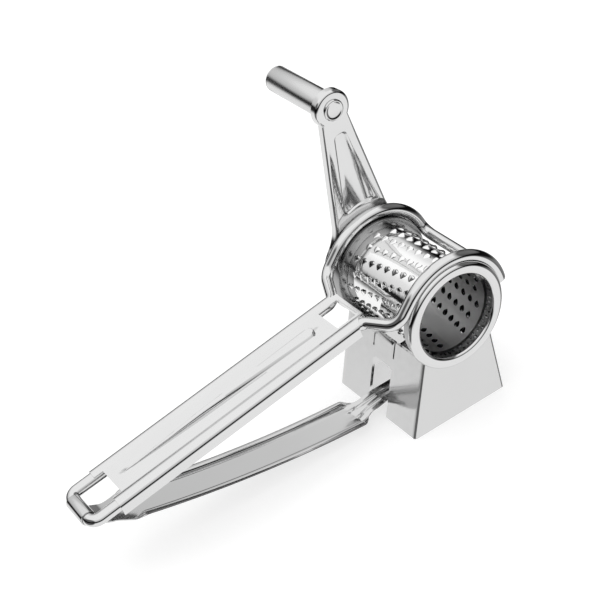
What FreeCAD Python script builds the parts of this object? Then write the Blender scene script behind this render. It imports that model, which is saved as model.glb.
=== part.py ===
import FreeCAD, Part
import math
import os

# Rotary cheese grater, all pressed and bent stainless steel, millimetres.
# It is drawn about the drum's axis: X runs from the handles' hinge to the drum,
# Y along the drum from its open flange to its crank, Z up. At the end the whole
# object is moved so that it stands on Z = 0, centred on its own footprint.

# ---- driving dimensions ----
SHEET = 0.6               # handles
COLLAR_SHEET = 0.8        # the drum's flange and rings
HOPPER_SHEET = 1.5
CRANK_SHEET = 1.6
GAP = 0.3                 # running gap between curved faces that turn past each other

WIRE_R = 2.8              # frame wire
LOOP_R = 27.8             # wire centre line round the drum
LOOP_Y = 27.2             # each loop's distance from the drum's middle
LOOP_LEAVES = 138.0       # angle where a loop's wire leaves for the handle, degrees
LOOP_TIP = 11.0           # angle of the front loop's free end
WIRE_BEND = 8.0
HINGE_BEND = 4.2

DRUM_R = 20.4             # outside of the punched tube
DRUM_SHEET = 0.8
FLANGE_R = 26.0
FLANGE_Y = 31.2           # front face of the open end's flange
LIP_R = 1.3
BEARING_R = LOOP_R - WIRE_R - GAP
HOLE_ROWS = 18
HOLES_IN_ROW = 9
FIRST_ROW = -54.3         # angle of the first row at the drum's middle, degrees
HOLE_PITCH = 5.0
ROW_TWIST = 0.48          # degrees that a row of teeth turns per mm along the drum
HOLE_R = 1.25

MOUTH_Z = -54.5           # rim of the hopper, which stands on the table
HOPPER_TOP_Z = -16.5
HOPPER_Y = 29.2           # outside of its front and rear walls
MOUTH_X = (-30.5, 22.3)
LEAN = (0.29, -0.11)      # x per z of the handle-side and the far wall
SLOT_HALF = 7.0
SLOT_TOP_Z = -29.3
SLIT_BOTTOM_Z = -24.5
SLIT = 0.9
GUARD_R = 23.9             # inside of the far wall, where it goes on up round the drum
GUARD_HALF = 21.0

HANDLE_SLOPE = 9.5        # degrees that the handle drops toward its hinge
HANDLE_START = (-34.8, 10.9)   # x and z of its front edge
HANDLE_LENGTH = 134.0
STRAND_Y = 11.0           # each strand of wire inside the handle's rolled edges
SIDE_DEPTH = 7.2
WINDOW = (2.3, 13.0, 7.6)     # start, end, half width
BEAD_HEIGHT = 1.1
HINGE_X = -178.8          # cross piece of the wire's U-bend, pin of the lever

LEVER_START = (-170.0, -25.2)   # x and z of the lever's floor nearest its hinge
LEVER_FALL = 17.4         # degrees that it drops there; its long bow flattens it
LEVER_BOW = 584.0
LEVER_LENGTH = 133.0
LEVER_HALF = 8.4
LEVER_DEPTH = 2.3
LEVER_FLANGE = 2.7
BARREL_HALF = 6.8

CRANK_LEAN = 5.6          # degrees from upright, toward the handle
CRANK_LENGTH = 85.6
CRANK_Y = 30.5            # front face of the crank pressing
CRANK_DEPTH = 4.5
EYE_R = 9.0
GRIP_R = 6.2
GRIP_LENGTH = 40.6
GRIP_WALL = 1.0
CAP_DEPTH = 1.8
STUD_R = 2.5

V = FreeCAD.Vector
Y_AXIS = V(0, 1, 0)


# ---- small helpers ----
def rad(degrees):
    return math.radians(degrees)


def tube_y(outer, inner, y0, y1, x=0.0, z=0.0):
    """Round tube or, with inner 0, round bar along Y."""
    bar = Part.makeCylinder(outer, y1 - y0, V(x, y0, z), Y_AXIS)
    if inner <= 0:
        return bar
    return bar.cut(Part.makeCylinder(inner, y1 - y0 + 2, V(x, y0 - 1, z), Y_AXIS))


def ribbon(points, t, half):
    """Bent strip of sheet: a path in X and Z, thickness t added on its left."""
    ways = []
    for (x0, z0), (x1, z1) in zip(points, points[1:]):
        size = math.hypot(x1 - x0, z1 - z0)
        ways.append(((x1 - x0) / size, (z1 - z0) / size))
    other = []
    for i, (x, z) in enumerate(points):
        a = ways[max(i - 1, 0)]
        b = ways[min(i, len(ways) - 1)]
        nx, nz = -(a[1] + b[1]), a[0] + b[0]
        scale = t / (nx * -a[1] + nz * a[0])
        other.append((x + nx * scale, z + nz * scale))
    return slab(points + other[::-1], -half, half)


def spun(points):
    """Solid of revolution about the drum's axis from (radius, y) corners."""
    corners = [V(r, y, 0) for r, y in points]
    face = Part.Face(Part.makePolygon(corners + corners[:1]))
    return face.revolve(V(0, 0, 0), Y_AXIS, 360)


def slab(points, y0, y1):
    """Polygon in X and Z, given thickness along Y."""
    corners = [V(x, y0, z) for x, z in points]
    face = Part.Face(Part.makePolygon(corners + corners[:1]))
    return face.extrude(V(0, y1 - y0, 0))


def edges_where(shape, test):
    return [edge for edge in shape.Edges if test(edge)]


def along_y(edge):
    a, b = edge.Vertexes[0].Point, edge.Vertexes[-1].Point
    return abs(a.x - b.x) < 1e-6 and abs(a.z - b.z) < 1e-6 and abs(a.y - b.y) > 1e-6


def on_handle(s, y, n):
    """Point s from the handle's drum end toward the hinge, n above its top."""
    t = rad(HANDLE_SLOPE)
    return V(
        HANDLE_START[0] - s * math.cos(t) - n * math.sin(t),
        y,
        HANDLE_START[1] - s * math.sin(t) + n * math.cos(t),
    )


def handle_prism(section, s0, s1):
    """Section of (y, n) corners or edges swept along the handle from s0 to s1."""
    corners = [on_handle(s0, y, n) for y, n in section]
    face = Part.Face(Part.makePolygon(corners + corners[:1]))
    return face.extrude(on_handle(s1, 0, 0) - on_handle(s0, 0, 0))


def arc_points(cy, cn, radius, a0, a1, count=8):
    return [
        (
            cy + radius * math.cos(rad(a0 + (a1 - a0) * i / count)),
            cn + radius * math.sin(rad(a0 + (a1 - a0) * i / count)),
        )
        for i in range(count + 1)
    ]


# ---- wire frame ----
STRAND_N = -(SHEET + 0.05 + WIRE_R)
HINGE_S = (HANDLE_START[0] - HINGE_X + STRAND_N * -math.sin(rad(HANDLE_SLOPE))) / math.cos(
    rad(HANDLE_SLOPE)
)
HINGE = on_handle(HINGE_S, 0, STRAND_N)


def loop_point(angle, y):
    return V(LOOP_R * math.cos(rad(angle)), y, LOOP_R * math.sin(rad(angle)))


def rounded_path(points, radii):
    """Edges of a polyline whose inner corners are arcs of the given radii."""
    edges = []
    start = points[0]
    for i in range(1, len(points) - 1):
        before = (points[i - 1] - points[i]).normalize()
        after = (points[i + 1] - points[i]).normalize()
        half = before.getAngle(after) / 2
        reach = radii[i - 1] / math.tan(half)
        into = points[i] + before * reach
        out = points[i] + after * reach
        middle_way = (before + after).normalize()
        middle = points[i] + middle_way * (radii[i - 1] / math.sin(half) - radii[i - 1])
        edges.append(Part.makeLine(start, into))
        edges.append(Part.Arc(into, middle, out).toShape())
        start = out
    edges.append(Part.makeLine(start, points[-1]))
    return edges


def frame_wire():
    """One rod: front loop, along the handle, U-bend, back, rear loop, cross bar."""
    leave = loop_point(LOOP_LEAVES, -LOOP_Y)
    tangent = V(-math.sin(rad(LOOP_LEAVES)), 0, math.cos(rad(LOOP_LEAVES)))
    corner = leave + tangent * 12.6
    enter = on_handle(2.6, -STRAND_Y, STRAND_N)
    turn = on_handle(HINGE_S, -STRAND_Y, STRAND_N)
    front = [leave, corner, enter, turn]
    rear = [V(p.x, -p.y, p.z) for p in reversed(front)]

    bar_bend = 6.0
    bar_drop = 6.6
    over = 23.0
    down = V(math.sin(rad(over)), 0, -math.cos(rad(over)))
    bar_corner = loop_point(over, LOOP_Y) + down * bar_drop
    bar_end = V(bar_corner.x, 0, bar_corner.z)

    mid_front = loop_point((LOOP_TIP + LOOP_LEAVES) / 2, -LOOP_Y)
    mid_rear = loop_point((over + LOOP_LEAVES) / 2, LOOP_Y)
    path = [Part.Arc(loop_point(LOOP_TIP, -LOOP_Y), mid_front, leave).toShape()]
    path += rounded_path(front + rear, [WIRE_BEND, 6.0, HINGE_BEND, HINGE_BEND, 6.0, WIRE_BEND])
    path.append(Part.Arc(rear[-1], mid_rear, loop_point(over, LOOP_Y)).toShape())
    path += rounded_path([loop_point(over, LOOP_Y), bar_corner, bar_end], [bar_bend])

    spine = Part.Wire(Part.__sortEdges__(path))
    start = loop_point(LOOP_TIP, -LOOP_Y)
    direction = V(math.sin(rad(LOOP_TIP)), 0, -math.cos(rad(LOOP_TIP)))
    section = Part.Wire(Part.makeCircle(WIRE_R, start, direction))
    rod = spine.makePipeShell([section], True, False)
    tip = Part.makeSphere(WIRE_R, start)
    bar = tube_y(WIRE_R, 0, -LOOP_Y + 1.5, 0, bar_corner.x, bar_corner.z)
    return rod.fuse([tip, bar])


# ---- handles ----
def upper_handle():
    """Top sheet with both edges rolled down round the wire strands."""
    outer = WIRE_R + 0.05 + SHEET
    inner = WIRE_R + 0.05
    right = arc_points(STRAND_Y, -outer, outer, 90, 0)
    right += [(STRAND_Y + outer, -SIDE_DEPTH), (STRAND_Y + inner, -SIDE_DEPTH)]
    right += arc_points(STRAND_Y, -outer, inner, 0, 90)
    section = right + [(-y, n) for y, n in reversed(right)]
    shell = handle_prism(section, 0, HANDLE_LENGTH)

    s0, s1, half = WINDOW
    window = handle_prism([(-half, 1), (half, 1), (half, -2), (-half, -2)], s0, s1)
    shell = shell.cut(window)
    side = STRAND_Y + outer + 1
    down = on_handle(0, 0, -9) - on_handle(0, 0, 1)
    for sign in (-1, 1):
        corner = [(-1, 10.3), (3.0, 10.3), (6.2, side), (-1, side)]
        corner = [on_handle(along, sign * y, 1) for along, y in corner]
        shell = shell.cut(Part.Face(Part.makePolygon(corner + corner[:1])).extrude(down))
    notch = handle_prism([(-8.3, 1), (8.3, 1), (8.3, -9), (-8.3, -9)], HANDLE_LENGTH - 4.5, HANDLE_LENGTH + 1)
    shell = shell.cut(notch)
    base = [(20.6, -3.4), (20.6, 3.4), (122.0, 0.5), (122.0, -0.5)]
    crest = [(22.0, -1.6), (22.0, 1.6), (120.0, 0.2), (120.0, -0.2)]
    rims = []
    for corners, height in ((base, -0.05), (crest, BEAD_HEIGHT)):
        points = [on_handle(along, y, height) for along, y in corners]
        rims.append(Part.makePolygon(points + points[:1]))
    return shell.fuse(Part.makeLoft(rims, True, True))


def lever_point(d, y, n):
    """Point d from the lever's start toward the drum along its bow, n above its floor."""
    first = rad(LEVER_FALL)
    now = first - d / LEVER_BOW
    x = LEVER_START[0] + LEVER_BOW * (math.sin(first) - math.sin(now)) + n * math.sin(now)
    z = LEVER_START[1] - LEVER_BOW * (math.cos(now) - math.cos(first)) + n * math.cos(now)
    return V(x, y, z)


def lever_sweep(points, d0, d1):
    """Section of (y, n) corners carried along the bow."""
    corners = [lever_point(d0, y, n) for y, n in points]
    face = Part.Face(Part.makePolygon(corners + corners[:1]))
    return face.revolve(lever_point(0, 0, LEVER_BOW), V(0, -1, 0), math.degrees((d1 - d0) / LEVER_BOW))


ARM_HALF = 5.4
PLATE_X = (-13.5, 14.5)
PLATE_LOW_Z = -47.5


def lower_handle():
    """Trough with out-turned edges, a hinge barrel at one end, an arm at the other."""
    t = SHEET
    b = LEVER_HALF
    w = LEVER_HALF + LEVER_FLANGE
    d = LEVER_DEPTH
    trough = [(-w, d), (-w, d - t), (-b - 0.1, d - t), (-b + 0.4, 0), (b - 0.4, 0), (b + 0.1, d - t), (w, d - t)]
    trough += [(w, d), (b - 0.4, d), (b - 0.9, t), (-b + 0.9, t), (-b + 0.4, d)]
    body = lever_sweep(trough, 0, LEVER_LENGTH)
    for sign in (-1, 1):
        for trim in (((-180, 6.6), (-166, 6.6), (-158.5, 10.0), (-158.0, 12), (-180, 12)),
                     ((-40.0, 12), (-40.0, 10.4), (-37.0, ARM_HALF), (-30, ARM_HALF), (-30, 12))):
            corners = [V(x, sign * y, -60) for x, y in trim]
            face = Part.Face(Part.makePolygon(corners + corners[:1]))
            body = body.cut(face.extrude(V(0, 0, 60)))

    barrel_in = WIRE_R + 0.06
    barrel_out = barrel_in + t
    barrel = tube_y(barrel_out, barrel_in, -BARREL_HALF, BARREL_HALF, HINGE.x, HINGE.z)
    lean = rad(27)
    start = (HINGE.x - barrel_out * math.sin(lean), HINGE.z - barrel_out * math.cos(lean))
    meet = lever_point(0.4, 0, 0)
    tongue = ribbon([start, (meet.x, meet.z)], t, 6.6)
    bore = tube_y(barrel_in, 0, -BARREL_HALF - 1, BARREL_HALF + 1, HINGE.x, HINGE.z)

    a = lever_point(LEVER_LENGTH - 3.4, 0, 0)
    arm = ribbon([(a.x, a.z), (-28.0, PLATE_LOW_Z), (PLATE_X[1] - 3, PLATE_LOW_Z)], t, ARM_HALF)
    handle = body.fuse([barrel, tongue, arm]).cut(bore)
    return handle.removeSplitter()


def press_plate():
    """Saddle that pushes the cheese up against the drum, hollow side up."""
    z0 = PLATE_LOW_Z + SHEET
    x0, x1 = PLATE_X
    half = 21.5
    radius = 23.2
    middle = (x0 + x1) / 2
    centre_z = z0 + 1.0 + radius
    def edge(radius, reverse):
        points = []
        for i in range(13):
            x = x0 + (x1 - x0) * i / 12
            points.append((x, centre_z - math.sqrt(radius ** 2 - (x - middle) ** 2)))
        return list(reversed(points)) if reverse else points
    return slab(edge(radius, False) + edge(radius - 1.0, True), -half, half).fuse(
        slab([(middle - 8, z0), (middle + 8, z0), (middle + 8, z0 + 2.0), (middle - 8, z0 + 2.0)], -ARM_HALF, ARM_HALF).cut(
            tube_y(radius - 0.5, 0, -half - 1, half + 1, middle, centre_z)
        )
    )


def plate_rivets():
    z = PLATE_LOW_Z
    middle = sum(PLATE_X) / 2
    rivets = []
    for x in (middle - 4.5, middle + 4.5):
        head = Part.makeCylinder(2.4, 0.9, V(x, 0, z - 0.9))
        shank = Part.makeCylinder(1.25, 3.4, V(x, 0, z - 0.01))
        rivets.append(head.fuse(shank))
    return rivets


# ---- hopper ----
def wall_x(side, z):
    return MOUTH_X[side] + LEAN[side] * (z - MOUTH_Z)


def hopper_solid(inset, z0, z1, half):
    points = [
        (wall_x(0, z0) + inset, z0),
        (wall_x(1, z0) - inset, z0),
        (wall_x(1, z1) - inset, z1),
        (wall_x(0, z1) + inset, z1),
    ]
    return slab(points, -half, half)


def hopper():
    """Folded box open at both ends, with a slotted wall and a tongue to the handle."""
    t = HOPPER_SHEET
    outer = hopper_solid(0, MOUTH_Z, HOPPER_TOP_Z, HOPPER_Y)
    inner = hopper_solid(t, MOUTH_Z - 1, HOPPER_TOP_Z + 1, HOPPER_Y - t)

    def upright(edge):
        return abs(edge.Vertexes[0].Point.z - edge.Vertexes[-1].Point.z) > 5

    outer = outer.makeFillet(2.6, edges_where(outer, upright))
    inner = inner.makeFillet(1.6, edges_where(inner, upright))
    shell = outer.cut(inner)
    seat = tube_y(LOOP_R - WIRE_R, 0, -HOPPER_Y - 1, HOPPER_Y + 1)
    shell = shell.cut(seat)

    x0 = MOUTH_X[0] - 2
    slot = Part.makeBox(16, 2 * SLOT_HALF, SLOT_TOP_Z - MOUTH_Z + 5, V(x0, -SLOT_HALF, MOUTH_Z - 5))
    corner_edges = edges_where(
        slot,
        lambda e: abs(e.Vertexes[0].Point.z - SLOT_TOP_Z) < 1e-6
        and abs(e.Vertexes[-1].Point.z - SLOT_TOP_Z) < 1e-6
        and abs(e.Vertexes[0].Point.x - e.Vertexes[-1].Point.x) > 5,
    )
    shell = shell.cut(slot.makeFillet(1.5, corner_edges))
    for sign in (-1, 1):
        y = sign * (SLOT_HALF + SLIT / 2)
        slit = Part.makeBox(16, SLIT, 20, V(wall_x(0, SLIT_BOTTOM_Z) - 6, y - SLIT / 2, SLIT_BOTTOM_Z))
        shell = shell.cut(slit)

    root = (wall_x(0, HOPPER_TOP_Z) + t, HOPPER_TOP_Z - 0.05)
    under = on_handle(0.4, 0, -SHEET - 0.05)
    tip = on_handle(2.2, 0, -SHEET - 0.05)
    tongue = ribbon([(tip.x, tip.z), (under.x, under.z), root], -t, SLOT_HALF)
    guard = tube_y(GUARD_R + t, GUARD_R, -GUARD_HALF, GUARD_HALF)
    low = math.atan2(HOPPER_TOP_Z - 2.5, wall_x(1, HOPPER_TOP_Z - 2.5))
    high = rad(-6.0)
    reach = 40.0
    sector = [(0, 0), (reach * math.cos(low), reach * math.sin(low)), (reach * math.cos(high), reach * math.sin(high))]
    guard = guard.common(slab(sector, -GUARD_HALF - 1, GUARD_HALF + 1))
    return shell.fuse([tongue, guard])


# ---- drum ----
def drum_tube():
    """Punched tube; one row is left out where the sheet's seam lies."""
    tube = tube_y(DRUM_R, DRUM_R - DRUM_SHEET, -25.5, 29.4)
    holes = []
    for row in range(HOLE_ROWS - 1):
        start = FIRST_ROW + 360.0 / HOLE_ROWS * row
        shift = HOLE_PITCH / 2 * (row % 2) - HOLE_PITCH / 4
        for i in range(HOLES_IN_ROW):
            y = (i - (HOLES_IN_ROW - 1) / 2) * HOLE_PITCH + shift
            angle = rad(start + ROW_TWIST * y)
            way = V(math.cos(angle), 0, math.sin(angle))
            holes.append(Part.makeCylinder(HOLE_R, 3, V(0, y, 0) + way * (DRUM_R - 2), way))
    return tube.cut(holes)


def front_flange():
    """Neck and rolled flange of the open end, where the grated cheese falls out."""
    inner = DRUM_R
    lip = []
    for i in range(7):
        a = rad(90 * i / 6)
        lip.append((FLANGE_R - LIP_R + LIP_R * math.sin(a), -FLANGE_Y + LIP_R - LIP_R * math.cos(a)))
    inner_lip = []
    for i in range(5):
        a = rad(90 - 90 * i / 4)
        r = LIP_R - COLLAR_SHEET
        inner_lip.append((FLANGE_R - LIP_R + r * math.sin(a), -FLANGE_Y + LIP_R - r * math.cos(a)))
    profile = [(inner, -22.6), (inner, -FLANGE_Y)] + lip + inner_lip
    profile += [(inner + COLLAR_SHEET, -FLANGE_Y + COLLAR_SHEET), (inner + COLLAR_SHEET, -22.6)]
    return spun(profile)


def bearing_ring(sign):
    """Cup ring that the wire loop and the hopper's seat run on."""
    outer = BEARING_R
    t = COLLAR_SHEET
    hub = DRUM_R + (t if sign < 0 else 0)
    outside = 30.3 if sign < 0 else 30.4
    corners = [(outer, outside), (outer, 24.6), (outer - 0.7, 23.9), (hub, 23.9)]
    corners += [(hub, 23.9 + t), (outer - t - 0.3, 23.9 + t), (outer - t, 25.1), (outer - t, outside)]
    return spun([(r, sign * y) for r, y in corners])


def drum_end_plate():
    """Disc that closes the drum and carries the crank."""
    rim = BEARING_R - COLLAR_SHEET - 0.1
    return spun([(0.0, 29.4), (rim, 29.4), (rim, 30.4), (0.0, 30.4)])


# ---- crank ----
def crank_outline(inset):
    """Outline of the crank pressing: disc, tapering arm and round eye."""
    disc = FLANGE_R - inset
    eye = EYE_R - inset
    top = (7.1 - inset, 79.9)
    low = (13.0 - inset, 38.0)
    dx, dz = low[0] - top[0], low[1] - top[1]
    size = math.hypot(dx, dz)
    ux, uz = dx / size, dz / size
    nx, nz = -uz, ux
    blend = 20.0 + inset
    # the blend's centre lies one blend radius outside the arm's edge and the disc
    px, pz = top[0] + nx * blend, top[1] + nz * blend
    b = px * ux + pz * uz
    c = px * px + pz * pz - (disc + blend) ** 2
    along = -b - math.sqrt(b * b - c)
    cx, cz = px + ux * along, pz + uz * along
    on_arm = (cx - nx * blend, cz - nz * blend)
    far = math.hypot(cx, cz)
    on_disc = (cx * disc / far, cz * disc / far)
    mx, mz = (on_arm[0] + on_disc[0]) / 2 - cx, (on_arm[1] + on_disc[1]) / 2 - cz
    reach = math.hypot(mx, mz)
    blend_mid = (cx + mx * blend / reach, cz + mz * blend / reach)
    rise = math.sqrt(eye ** 2 - top[0] ** 2)
    join = (top[0], CRANK_LENGTH - rise)

    def at(point, sign=1):
        return V(sign * point[0], 0, point[1])

    edges = [
        Part.Arc(at(join), V(0, 0, CRANK_LENGTH + eye), at(join, -1)).toShape(),
        Part.makeLine(at(join, -1), at(on_arm, -1)),
        Part.Arc(at(on_arm, -1), at(blend_mid, -1), at(on_disc, -1)).toShape(),
        Part.Arc(at(on_disc, -1), V(0, 0, -disc), at(on_disc)).toShape(),
        Part.Arc(at(on_disc), at(blend_mid), at(on_arm)).toShape(),
        Part.makeLine(at(on_arm), at(join)),
    ]
    return Part.Face(Part.Wire(Part.__sortEdges__(edges)))


def crank_plate(inset, y0, y1):
    face = crank_outline(inset)
    face.translate(V(0, y0, 0))
    return face.extrude(V(0, y1 - y0, 0))


def recess(grow, y0, y1):
    """Rounded triangle pressed into the arm."""
    low, high = 33.0, 72.5
    half_low, half_high = 8.6, 3.0
    points = [V(-half_low, y0, low), V(half_low, y0, low), V(half_high, y0, high), V(-half_high, y0, high)]
    face = Part.Face(Part.makePolygon(points + points[:1]))
    block = face.extrude(V(0, y1 - y0, 0))
    block = block.makeFillet(2.4, edges_where(block, along_y))
    if grow:
        block = block.makeOffsetShape(grow, 0.01, join=2)
    return block


def lean(shape):
    """Turns a shape drawn upright about the drum's axis to the crank's rest angle."""
    shape.rotate(V(0, 0, 0), Y_AXIS, -CRANK_LEAN)
    return shape


def crank_arm():
    """Pressed shell with its edges turned back."""
    y0, y1 = CRANK_Y, CRANK_Y + CRANK_DEPTH
    shell = crank_plate(0, y0, y1)
    front = edges_where(shell, lambda e: e.BoundBox.YMax - y0 < 1e-4)
    shell = shell.makeFillet(1.1, front)
    shell = shell.cut(crank_plate(CRANK_SHEET, y0 + CRANK_SHEET, y1 + 1))
    shell = shell.cut(recess(0, y0 - 1, y0 + 0.5))
    shell = shell.cut(tube_y(STUD_R + 0.55, 0, y0 - 1, y1 + 1, 0, CRANK_LENGTH))
    return lean(shell)


def polar(radius, angle, y):
    return V(radius * math.cos(rad(angle)), y, radius * math.sin(rad(angle)))


def crank_rivets():
    """Three rivets that hold the crank to the drum's end plate."""
    rivets = []
    for i in range(3):
        p = polar(14.0, 90 + 120 * i, 0)
        inside = Part.makeCylinder(3.0, 1.0, V(p.x, 28.4, p.z), Y_AXIS)
        shank = Part.makeCylinder(1.9, CRANK_Y + CRANK_SHEET - 29.3, V(p.x, 29.35, p.z), Y_AXIS)
        outside = Part.makeCylinder(3.0, 1.1, V(p.x, CRANK_Y + CRANK_SHEET, p.z), Y_AXIS)
        rivets.append(lean(inside.fuse([shank, outside]).removeSplitter()))
    return rivets


def with_rivet_holes(shape):
    for i in range(3):
        p = polar(14.0, 90 + 120 * i, 0)
        hole = Part.makeCylinder(1.9, 6, V(p.x, 27, p.z), Y_AXIS)
        shape = shape.cut(lean(hole))
    return shape


GRIP_Y0 = CRANK_Y + CRANK_DEPTH + 0.5
GRIP_Y1 = GRIP_Y0 + GRIP_LENGTH


def grip_stud():
    """Headed pin that the grip turns on, peened over at its far end."""
    z = CRANK_LENGTH
    head = tube_y(5.0, 0, CRANK_Y - 0.9, CRANK_Y, 0, z)
    head = head.makeFillet(0.35, edges_where(head, lambda e: e.BoundBox.YMax < CRANK_Y - 0.8))
    neck = tube_y(STUD_R + 0.5, 0, CRANK_Y, CRANK_Y + CRANK_DEPTH, 0, z)
    pin = tube_y(STUD_R, 0, CRANK_Y + CRANK_DEPTH, GRIP_Y1 + 0.7, 0, z)
    peen = tube_y(3.6, 0, GRIP_Y1 + 0.7, GRIP_Y1 + 1.7, 0, z)
    return lean(head.fuse([neck, pin, peen]).removeSplitter())


def stud_washer():
    """Washer riveted down behind the eye, so that the stud stays square."""
    return lean(tube_y(5.6, STUD_R + 0.5, CRANK_Y + CRANK_SHEET, CRANK_Y + CRANK_SHEET + 1.4, 0, CRANK_LENGTH))


def grip_washer():
    """Loose washer that keeps the grip off the crank's turned-back edge."""
    return lean(tube_y(4.6, STUD_R + 0.06, GRIP_Y0 - 0.45, GRIP_Y0 - 0.05, 0, CRANK_LENGTH))


def grip_tube():
    """Plain round tube that the hand turns the crank by."""
    return lean(tube_y(GRIP_R, GRIP_R - GRIP_WALL, GRIP_Y0, GRIP_Y1 - CAP_DEPTH, 0, CRANK_LENGTH))


def grip_end_cap():
    """Chamfered cap in the grip's far end; the stud passes through it."""
    z = CRANK_LENGTH
    cap = tube_y(GRIP_R, 0, GRIP_Y1 - CAP_DEPTH, GRIP_Y1, 0, z)
    cap = cap.makeChamfer(1.3, edges_where(cap, lambda e: e.BoundBox.YMin > GRIP_Y1 - 0.1))
    spigot = tube_y(GRIP_R - GRIP_WALL, 0, GRIP_Y1 - CAP_DEPTH - 2, GRIP_Y1 - CAP_DEPTH, 0, z)
    bore = tube_y(STUD_R + 0.3, 0, GRIP_Y0, GRIP_Y1 + 1, 0, z)
    return lean(cap.fuse(spigot).cut(bore))


def grip_bush(y0):
    """Sleeve pressed into the grip; the stud runs in it."""
    return lean(tube_y(GRIP_R - GRIP_WALL, STUD_R + 0.06, y0, y0 + 5.0, 0, CRANK_LENGTH))


# ---- whole object ----
PARTS = {
    "frame_wire": [frame_wire()],
    "upper_handle": [upper_handle()],
    "hopper": [hopper()],
    "lower_handle": [lower_handle().cut(plate_rivets())],
    "press_plate": [press_plate().cut(plate_rivets())],
    "press_plate_rivets": plate_rivets(),
    "drum_tube": [drum_tube()],
    "drum_front_flange": [front_flange()],
    "front_bearing_ring": [bearing_ring(-1)],
    "rear_bearing_ring": [bearing_ring(1)],
    "drum_end_plate": [with_rivet_holes(drum_end_plate())],
    "crank_arm": [with_rivet_holes(crank_arm())],
    "crank_rivets": crank_rivets(),
    "grip_stud": [grip_stud()],
    "stud_washer": [stud_washer()],
    "grip_washer": [grip_washer()],
    "grip_tube": [grip_tube()],
    "grip_end_cap": [grip_end_cap()],
    "grip_inner_bush": [grip_bush(GRIP_Y0 + 0.6)],
    "grip_outer_bush": [grip_bush(GRIP_Y1 - CAP_DEPTH - 2 - 5.0)],
}

whole = Part.makeCompound([solid for solids in PARTS.values() for solid in solids])
box = whole.optimalBoundingBox(False, False)
PLACE = V(-(box.XMin + box.XMax) / 2, -(box.YMin + box.YMax) / 2, -box.ZMin)

os.makedirs("parts", exist_ok=True)
for name, solids in PARTS.items():
    shape = solids[0] if len(solids) == 1 else Part.makeCompound(solids)
    shape = shape.copy()
    shape.translate(PLACE)
    shape.exportStep("parts/" + name + ".step")
    print(name, len(shape.Solids), shape.isValid(), round(shape.Volume, 1))
print("place", PLACE, "size", box.XLength, box.YLength, box.ZLength, "hinge", HINGE + PLACE)
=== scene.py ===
import math
import bmesh
import bpy
from mathutils import Matrix, Vector


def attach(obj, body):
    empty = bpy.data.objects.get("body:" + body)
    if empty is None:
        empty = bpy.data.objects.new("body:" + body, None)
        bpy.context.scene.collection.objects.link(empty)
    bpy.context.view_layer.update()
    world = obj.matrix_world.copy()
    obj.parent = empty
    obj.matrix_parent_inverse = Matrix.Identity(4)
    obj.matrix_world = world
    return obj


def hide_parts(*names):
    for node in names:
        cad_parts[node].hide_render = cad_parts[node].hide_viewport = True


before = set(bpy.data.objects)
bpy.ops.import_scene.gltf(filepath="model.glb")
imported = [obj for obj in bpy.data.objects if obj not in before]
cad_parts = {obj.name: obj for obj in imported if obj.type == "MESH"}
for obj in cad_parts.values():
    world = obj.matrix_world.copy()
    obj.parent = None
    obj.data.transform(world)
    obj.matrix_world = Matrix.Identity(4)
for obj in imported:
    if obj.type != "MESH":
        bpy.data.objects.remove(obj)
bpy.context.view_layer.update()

# ---------------------------------------------------------------- camera
# The object is seen from its open drum end, two fifths of a right angle above the
# table, with the camera rolled a little about its own line of sight.
DRUM = Vector((75.6456, -23.3, 54.5))  # the drum's middle in the row frame, mm
AZIMUTH, ELEVATION, ROLL = math.radians(-27.78), math.radians(35.72), math.radians(-11.46)
STAND = Vector((-297.0, -452.2, 393.4))  # camera from the drum's middle, mm

camera = bpy.data.cameras.new("camera")
camera.lens = 88.22
camera.sensor_width = 36.0
camera.clip_end = 20.0
camera_object = bpy.data.objects.new("camera", camera)
bpy.context.scene.collection.objects.link(camera_object)
flat = math.cos(ELEVATION)
back = Vector((math.sin(AZIMUTH) * flat, -math.cos(AZIMUTH) * flat, math.sin(ELEVATION)))
right = Vector((math.cos(AZIMUTH), math.sin(AZIMUTH), 0.0))
up = back.cross(right)
rolled_right = right * math.cos(ROLL) + up * math.sin(ROLL)
rolled_up = up * math.cos(ROLL) - right * math.sin(ROLL)
turn = Matrix((rolled_right, rolled_up, back)).transposed().to_4x4()
camera_object.matrix_world = Matrix.Translation((DRUM + STAND) / 1000) @ turn
bpy.context.scene.camera = camera_object


# ---------------------------------------------------------------- frame wire
# One bent round rod of stainless steel, mirror polished: two loops for the drum,
# two strands along the handle, a U-bend for the hinge and a welded cross bar.
WIRE_R = 2.8
LOOP_R, LOOP_Y = 27.8, 27.2
LOOP_TIP, LOOP_LEAVES, LOOP_OVER = 11.0, 138.0, 23.0  # degrees: cut end, toward the handle, toward the bar
LEAVE_RUN, BAR_RUN, BAR_SHORT = 12.6, 6.6, 1.2  # straight runs after the loops; the bar's end to the loop
STRAND_START = 2.6  # where a strand has come in under the handle
BENDS, BAR_BEND = [8.0, 6.0, 4.2, 4.2, 6.0, 8.0], 6.0
DOME_STEPS = (86, 75, 60, 45, 30, 15)  # degrees round the rod's rounded end
HANDLE_SLOPE = math.radians(9.5)
HANDLE_START = (-34.8, 10.9)
STRAND_Y, STRAND_N = 11.0, -(0.65 + WIRE_R)
HINGE_X = -178.8


def on_handle(s, y, n):
    """s from the handle's drum end toward the hinge, n above its top."""
    return Vector((
        HANDLE_START[0] - s * math.cos(HANDLE_SLOPE) - n * math.sin(HANDLE_SLOPE), y,
        HANDLE_START[1] - s * math.sin(HANDLE_SLOPE) + n * math.cos(HANDLE_SLOPE)))


def feed(tree, node, inputs):
    """Gives each named input of a node a value, or the output of another node."""
    for key, value in inputs.items():
        if isinstance(value, bpy.types.NodeSocket):
            tree.links.new(value, node.inputs[key])
        else:
            node.inputs[key].default_value = value


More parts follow.
